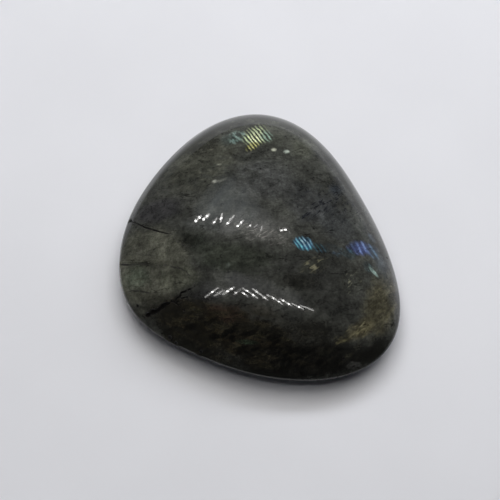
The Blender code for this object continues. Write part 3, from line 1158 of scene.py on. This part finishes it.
@dataclass(frozen=True)
class LabradoriteFinish:
    """Polished labradorite: body colour, zones, cleavage, flashes painted in as sheen, cracks.

    Each of the clouds is a scale of noise, its roughness, and the factors
    by which it darkens and lightens the stone at its low and high levels.
    """

    name: str = STONE_SLOT
    gloss: float = 0.030
    worn: float = 0.075
    wear_scale: float = 900.0
    wear_levels: tuple[float, float] = (0.45, 0.75)
    refraction: float = 1.56
    haze: float = 0.16
    haze_width: float = 0.24
    tear_scale: float = 420.0
    layer_seed: float = 1.37
    cloud_levels: tuple[float, float] = (0.3, 0.7)
    clouds: tuple[tuple[float, float, float, float], ...] = (
        (170.0, 0.55, 0.70, 1.30),
        (480.0, 0.6, 0.74, 1.30),
        (1150.0, 0.6, 0.78, 1.27),
        (2600.0, 0.5, 0.82, 1.20),
    )
    # Near black laid into the cracks: partly their own dark colour, partly painted shade in the
    # grooves.
    crack_tint_and_shade: Colour = (0.004, 0.0035, 0.003)
    crack_rough: float = 0.95
    relief_scale: float = 1500.0
    relief_strength: float = 0.12
    relief_height: float = 0.004 * MM

    def lay_zones(self, board: Board, surface: Surface, seen: Feed, torn: Feed) -> Feed:
        """Lay every zone's tint over the body colour."""
        colour = BODY
        for zone in ZONES:
            mask = zone.mask(board, surface, seen, torn)
            colour = board.blend(board.math("MULTIPLY", mask, zone.amount), colour, zone.tint)
        return colour

    def light_layers(self, board: Board, seen: Feed) -> dict[str, bpy.types.Node]:
        """Put every family of inner layers on the board."""
        groups = {Lit.BANDS: bands_group(), Lit.WISPS: wisps_group()}
        return {
            name: board.place(groups[layers.lit], name, {
                "Vector": seen,
                "Turn": math.radians(layers.turn),
                "Spacing": layers.spacing,
                "Broken": layers.broken,
                "Edge": layers.edge,
                "Seed": self.layer_seed * number,
            })
            for number, (name, layers) in enumerate(LAYERS.items())
        }

    def lay_flashes(self, board: Board, surface: Surface, seen: Feed, torn: Feed,
                    layers: dict[str, bpy.types.Node], colour: Feed) -> Feed:
        """Lay every flash's lit layers over the stone, the inner layers' flashes as painted sheen.
        """
        for flash in FLASHES:
            mask = flash.mask(board, surface, seen, torn)
            layer = layers[flash.layers]
            if flash.gap_amount:
                gap = board.math("MULTIPLY", mask, flash.gap_amount)
                colour = board.blend(gap, colour, flash.gap)
            for part, hue in zip(("Lit", "Second"), flash.hues):
                lit = board.math("MULTIPLY", mask, layer.outputs[part])
                colour = board.blend(board.math("MULTIPLY", lit, flash.amount), colour, hue)
        return colour

    def cleavage_tones(self, board: Board, seen: Feed) -> list[Feed]:
        """How far the thin lines of each cleavage darken or lighten the stone."""
        streaks = hatch_group()
        return [
            board.remap(board.place(streaks, family.name, {
                "Vector": seen,
                "Turn": math.radians(family.turn),
                "Spacing": family.spacing,
                "Length": family.length,
                "Cover": family.cover,
                "Seed": family.seed,
            }).outputs["Streaks"], 0.0, 1.0, 1.0, family.factor)
            for family in CLEAVAGE
        ]

    def vein_tones(self, board: Board, seen: Feed) -> list[Feed]:
        """How far the thin winding lines darken or lighten the stone."""
        veins = veins_group()
        return [
            board.remap(board.place(veins, family.name, {
                "Vector": seen,
                "Turn": math.radians(family.turn),
                "Long": family.long,
                "Wide": family.wide,
                "Thin": family.thin,
                "Rare": family.rare,
                "Seed": family.seed,
            }).outputs["Veins"], 0.0, 1.0, 1.0, family.factor)
            for family in VEINS
        ]

    def cloud_tones(self, board: Board, place: Feed) -> list[Feed]:
        """How far the clouding darkens or lightens the stone, at four scales."""
        return [
            board.remap(board.noise(place, scale, 3.0, rough), *self.cloud_levels, low, high)
            for scale, rough, low, high in self.clouds
        ]

    def tone(self, board: Board, place: Feed, seen: Feed) -> Feed:
        """All that darkens or lightens the stone, as one factor.

        Args:
            board: The material's board.
            place: The place on the stone.
            seen: The same, laid flat in the main view.

        Returns:
            The factor.
        """
        whole, *others = (self.cleavage_tones(board, seen) + self.vein_tones(board, seen)
                          + self.cloud_tones(board, place))
        for part in others:
            whole = board.math("MULTIPLY", whole, part)
        return whole

    def shade(self, board: Board, colour: Feed, factor: Feed) -> Feed:
        """Make a colour darker or paler by a factor."""
        grey = board.add("ShaderNodeCombineColor", {0: factor, 1: factor, 2: factor})
        return board.blend(1.0, colour, grey.outputs[0], "MULTIPLY")

    def make(self, surface: Surface) -> bpy.types.Material:
        """Build the material.

        Args:
            surface: The smooth skin, on which the zones are placed.

        Returns:
            The material.
        """
        finish = bpy.data.materials.new(self.name)
        finish.use_nodes = True
        board = Board(finish.node_tree)
        shader = board.tree.nodes["Principled BSDF"]
        place = board.add("ShaderNodeTexCoord", {}).outputs["Object"]
        lean = surface.view.elevation - math.pi / 2
        seen = board.add("ShaderNodeMapping", {"Vector": place, "Rotation": (lean, 0.0, 0.0)},
                         vector_type="POINT").outputs["Vector"]
        torn = board.vector("SUBTRACT", board.noise(seen, self.tear_scale, 4.0, 0.65, "Color"),
                            NOISE_MEAN)
        layers = self.light_layers(board, seen)
        patch_group()
        colour = self.lay_zones(board, surface, seen, torn)
        colour = self.lay_flashes(board, surface, seen, torn, layers, colour)
        colour = self.shade(board, colour, self.tone(board, place, seen))
        # The cracks' darkening: partly their own dark colour, partly painted shade in the grooves.
        crack = board.add("ShaderNodeAttribute", {}, attribute_name=CRACK_SHADE).outputs["Fac"]
        colour = board.blend(crack, colour, self.crack_tint_and_shade)
        board.feed(shader.inputs["Base Color"], colour)
        wear = board.remap(board.noise(place, self.wear_scale, 3.0, 0.6), *self.wear_levels,
                           self.gloss, self.worn)
        board.feed(shader.inputs["Roughness"], board.remap(crack, 0.0, 1.0, wear, self.crack_rough))
        shader.inputs["IOR"].default_value = self.refraction
        board.feed(shader.inputs["Coat Weight"], board.remap(crack, 0.0, 1.0, self.haze, 0.0))
        shader.inputs["Coat Roughness"].default_value = self.haze_width
        bump = board.add("ShaderNodeBump", {
            "Height": board.noise(place, self.relief_scale, 3.0, 0.5),
            "Strength": self.relief_strength, "Distance": self.relief_height})
        board.feed(shader.inputs["Normal"], bump.outputs["Normal"])
        return finish


# ---------------------------------------------------------------------------
# Table and light
# ---------------------------------------------------------------------------


def hang_light(name: str, middle: Vector, facing: Vector, long_axis: Vector,
               size: tuple[float, float], radiance: float, tint: Colour) -> bpy.types.Object:
    """Hang one rectangular light.

    Args:
        name: The light's name.
        middle: Where its middle is.
        facing: Which way it shines.
        long_axis: Roughly along its first side.
        size: Its two sides.
        radiance: How bright its face is.
        tint: The colour of its light.

    Returns:
        The light's object.
    """
    light = bpy.data.lights.new(name, "AREA")
    light.shape = "RECTANGLE"
    light.size, light.size_y = size
    light.color = tint
    light.energy = radiance * math.pi * size[0] * size[1]
    holder = bpy.data.objects.new(name, light)
    bpy.context.scene.collection.objects.link(holder)
    side = (long_axis - facing * long_axis.dot(facing)).normalized()
    turn = Matrix((side, (-facing).cross(side), -facing)).transposed()
    holder.matrix_world = Matrix.Translation(middle) @ turn.to_4x4()
    return holder


@dataclass(frozen=True)
class SoftPanel:
    """A soft light over the table, facing straight down.

    It lights the stone and the table, and the stone doesn't mirror it.
    """

    name: str
    middle: tuple[float, float]
    size: tuple[float, float]
    radiance: float
    height: float = 450 * MM
    tint: Colour = (0.985, 0.99, 1.0)

    def build(self) -> None:
        """Hang the panel."""
        panel = hang_light(self.name, Vector((*self.middle, self.height)), Vector((0, 0, -1)),
                           Vector((1, 0, 0)), self.size, self.radiance, self.tint)
        panel.visible_glossy = False
        log.info("%s: %.2f m2", self.name, self.size[0] * self.size[1])


WARM = (1.0, 0.97, 0.92)
PANELS = (
    SoftPanel("overhead", (20 * MM, -60 * MM), (160 * MM, 220 * MM), 2.0, tint=WARM),
    SoftPanel("overhead_wide", (30 * MM, 170 * MM), (560 * MM, 420 * MM), 1.68, tint=WARM),
    SoftPanel("back", (20 * MM, 480 * MM), (460 * MM, 160 * MM), 8.4),
    SoftPanel("back_right", (560 * MM, 500 * MM), (700 * MM, 240 * MM), 6.0),
)


@dataclass(frozen=True)
class Dash:
    """One lit bar of a lamp, as its mirror image shows on the stone.

    Spots are shares of the way along it where the bar is brightest.
    """

    start: Pixel
    finish: Pixel
    spots: tuple[float, ...] = ()
    bright: float = 1.0

    def at(self, share: float) -> Pixel:
        """A pixel on the dash."""
        return tuple(s + (f - s) * share for s, f in zip(self.start, self.finish))


@dataclass(frozen=True)
class Lamp:
    """A ceiling lamp of narrow bright bars, placed by its mirror image."""

    name: str
    dashes: tuple[Dash, ...]
    height: float = 450 * MM
    bar_wide: float = 1.1
    spot_long: float = 1.45
    spot_wide: float = 1.25
    bar_radiance: float = 7.0
    spot_radiance: float = 38.0
    tint: Colour = (1.0, 0.98, 0.96)

    def hung_at(self, surface: Surface, pixel: Pixel) -> Vector:
        """Where, at the lamp's height, a pixel's mirror image comes from."""
        point, towards = surface.mirrored(pixel)
        return point + towards * ((self.height - point.z) / towards.z)

    def hang_bar(self, surface: Surface, name: str, pixel: Pixel, along: Pixel, long: float,
                 wide: float, radiance: float) -> None:
        """Hang the bar whose mirror image is a short stroke about a pixel."""
        stroke = (along[0] * long / 2, along[1] * long / 2)
        slant = (-along[1] * wide / 2, along[0] * wide / 2)
        middle = self.hung_at(surface, pixel)
        ends = [self.hung_at(surface, (pixel[0] + off[0], pixel[1] + off[1]))
                for off in (stroke, slant)]
        size = tuple(2 * (end - middle).length for end in ends)
        facing = (surface.hit(pixel)[0] - middle).normalized()
        hang_light(name, middle, facing, ends[0] - middle, size, radiance, self.tint)

    def build(self, surface: Surface) -> None:
        """Hang the whole lamp."""
        for number, dash in enumerate(self.dashes):
            way = (dash.finish[0] - dash.start[0], dash.finish[1] - dash.start[1])
            long = math.hypot(*way)
            along = (way[0] / long, way[1] / long)
            self.hang_bar(surface, f"{self.name}_bar_{number}", dash.at(0.5), along, long,
                          self.bar_wide, self.bar_radiance * dash.bright)
            for order, share in enumerate(dash.spots):
                self.hang_bar(surface, f"{self.name}_spot_{number}_{order}", dash.at(share),
                              along, self.spot_long, self.spot_wide,
                              self.spot_radiance * dash.bright)
        log.info("%s: %d bars", self.name, len(self.dashes))


BACK_LAMP = Lamp(
    name="back_lamp",
    dashes=(
        Dash((194.4, 222.2), (201.5, 215.6), (0.2, 0.72)),
        Dash((202.2, 220.6), (209.5, 213.8), (0.2, 0.65)),
        Dash((213, 224), (217, 218), (0.3,), 0.8),
        Dash((220.6, 221.5), (221.8, 214.5), (0.45,), 1.0),
        Dash((226.6, 224.6), (234, 215.6), (0.15, 0.5)),
        Dash((236.8, 227), (243.4, 220.2), (0.15, 0.7)),
        Dash((247, 228), (251.4, 224.6), (0.7,), 0.4),
        Dash((260.6, 230.6), (262.2, 226.2), (), 0.9),
        Dash((254, 227.5), (257.5, 224.5), (), 0.5),
        Dash((280.8, 230.4), (286.2, 229.6), (0.12, 0.88)),
    ),
)
FRONT_LAMP = Lamp(
    name="front_lamp",
    dashes=(
        Dash((204.2, 297.6), (217.6, 288.1), (0.6,)),
        Dash((214.5, 295.8), (223.1, 290.2), (0.5,), 0.8),
        Dash((223.1, 294.1), (233.9, 287.2), (0.4, 0.78)),
        Dash((233.9, 294.5), (240.8, 288.9), (0.3,), 0.5),
        Dash((241.7, 292), (247.7, 296.3), (0.4,)),
        Dash((243.4, 288.1), (258.0, 298.4), (0.27, 0.68)),
        Dash((252.8, 288.9), (267.9, 300.1), (0.25, 0.50, 0.78)),
        Dash((266.6, 294.5), (269.5, 296.6), (0.5,), 0.8),
        Dash((270.1, 295.8), (282.6, 304.4), (0.25, 0.7)),
        Dash((280.4, 298.8), (291.6, 305.7), (0.25, 0.75)),
        Dash((292.5, 303.6), (303.6, 309.2), (0.6,), 1.0),
        Dash((300.2, 304.9), (313.5, 310.5), (), 1.0),
    ),
)


@dataclass(frozen=True)
class Glow:
    """A soft bright part of the room, placed by where the stone mirrors it."""

    name: str
    seen_at: Pixel
    spread: float
    radiance: float
    tint: Colour


@dataclass(frozen=True)
class Room:
    """What the stone mirrors: a dim room with a few soft glows."""

    base: Colour = (0.030, 0.030, 0.032)
    glows: tuple[Glow, ...] = (
        Glow("window_right", (338, 168), 31, 0.84, (0.90, 0.93, 1.0)),
        Glow("wall_right", (385, 272), 21, 0.37, (0.84, 0.92, 1.0)),
        Glow("wall_back", (262, 124), 24, 0.30, (0.94, 0.97, 0.98)),
        Glow("haze_back_end", (207, 203), 7, 0.34, (0.85, 0.95, 1.0)),
        Glow("haze_back_left", (220, 204), 7.5, 0.66, (0.85, 0.95, 1.0)),
        Glow("haze_back", (234, 208), 7.5, 0.66, (0.87, 0.96, 1.0)),
        Glow("haze_back_middle", (247, 213), 7, 0.60, (0.88, 0.96, 1.0)),
        Glow("haze_back_right", (259, 220), 7, 0.50, (0.95, 0.97, 1.0)),
        Glow("haze_row", (232, 225), 8, 0.84, (1.0, 0.99, 0.96)),
        Glow("haze_row_end", (262, 230), 7, 0.46, (1.0, 0.99, 0.97)),
        Glow("haze_row_tip", (282, 228), 6, 0.42, (1.0, 0.99, 0.97)),
        Glow("haze_front_left", (212, 288), 7, 0.14, (0.92, 0.94, 1.0)),
        Glow("haze_front", (240, 282), 7.5, 0.42, (0.92, 0.94, 1.0)),
        Glow("haze_front_middle", (266, 288), 7.5, 0.25, (0.92, 0.94, 1.0)),
        Glow("haze_front_right", (292, 299), 7, 0.28, (0.92, 0.94, 1.0)),
    )

    def build(self, surface: Surface) -> None:
        """Set up the world."""
        world = bpy.data.worlds.new("soft_room")
        bpy.context.scene.world = world
        world.use_nodes = True
        board = Board(world.node_tree)
        sky = board.tree.nodes["Background"]
        look = board.add("ShaderNodeTexCoord", {}).outputs["Generated"]
        colour = self.base
        for glow in self.glows:
            towards = surface.mirrored(glow.seen_at)[1]
            near = board.vector("DOT_PRODUCT", look, towards)
            mask = board.remap(near, math.cos(math.radians(glow.spread)), 1.0)
            light = tuple(glow.radiance * part for part in glow.tint)
            colour = board.blend(mask, colour, light, "ADD")
            log.info("%s: mirrored from %s", glow.name, [round(part, 2) for part in towards])
        board.feed(sky.inputs["Color"], colour)
        sky.inputs["Strength"].default_value = 1.0


@dataclass(frozen=True)
class TableTop:
    """A wide, pale, plain table top under the stone.

    The stone mirrors it most dimly on the side that dim_towards points to:
    there its colour in mirror images is painted dark, as painted shade of an
    unlit table beyond a lit middle.
    """

    size: float = 3.0
    drop: float = 0.05 * MM
    tint: Colour = (0.76, 0.775, 0.83)
    paler_by: float = 1.03
    cloud_scale: float = 30.0
    cloud_levels: tuple[float, float] = (0.3, 0.7)
    roughness: float = 0.55
    unlit: Colour = (0.02, 0.02, 0.02)
    lit_reach: tuple[float, float] = (36 * MM, 66 * MM)
    dim_towards: Triple = (-0.707, -0.707, 0.0)
    dim_sides: tuple[float, float] = (-0.65, -0.1)
    dim_shares: tuple[float, float] = (0.30, 0.92)

    def build(self) -> None:
        """Lay the table top."""
        deselect_all()
        bpy.ops.mesh.primitive_plane_add(size=self.size, location=(0, 0, -self.drop))
        table = bpy.context.active_object
        table.name = "table_top"
        finish = bpy.data.materials.new("pale_table")
        finish.use_nodes = True
        board = Board(finish.node_tree)
        shader = board.tree.nodes["Principled BSDF"]
        place = board.add("ShaderNodeTexCoord", {}).outputs["Object"]
        cloud = board.remap(board.noise(place, self.cloud_scale), *self.cloud_levels)
        paler = tuple(min(1.0, part * self.paler_by) for part in self.tint)
        colour = board.blend(cloud, self.tint, paler)
        # Painted shade: rays mirrored by the stone see the table darkened away from its middle.
        mirrored = board.add("ShaderNodeLightPath", {}).outputs["Is Glossy Ray"]
        dim = board.math("MULTIPLY", mirrored, self.painted_mirror_shade(board, place))
        board.feed(shader.inputs["Base Color"], board.blend(dim, colour, self.unlit))
        shader.inputs["Roughness"].default_value = self.roughness
        table.data.materials.append(finish)

    def painted_mirror_shade(self, board: Board, place: Feed) -> Feed:
        """The painted shade in the stone's mirror images of the table top, away from
        the lit middle.

        Args:
            board: The material's board.
            place: The place on the table top.

        Returns:
            The share of the table's colour painted dark, most at the front and left.
        """
        away = board.vector("LENGTH", place)
        far = board.remap(away, *self.lit_reach)
        side = board.vector("DOT_PRODUCT", board.vector("NORMALIZE", place), self.dim_towards)
        return board.math("MULTIPLY", far, board.remap(side, *self.dim_sides, *self.dim_shares))


def main() -> None:
    """Build the stone, its table and its light, in order."""
    logging.basicConfig(level=logging.INFO, format="%(name)s: %(message)s")
    view = Viewpoint()
    view.make_camera()
    bpy.context.scene.view_settings.view_transform = "Standard"
    skin = PebbleSkin(solid=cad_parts[STONE_NODE], view=view)
    stone = skin.build()
    log.info("%s: %d faces", stone.name, len(stone.data.polygons))
    stone.data.materials.clear()
    stone.data.materials.append(LabradoriteFinish().make(skin.smooth))
    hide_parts(STONE_NODE)
    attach(stone, "root")
    TableTop().build()
    Room().build(skin.smooth)
    for lamp in (BACK_LAMP, FRONT_LAMP):
        lamp.build(skin.smooth)
    for panel in PANELS:
        panel.build()


if __name__ == "__main__":
    main()
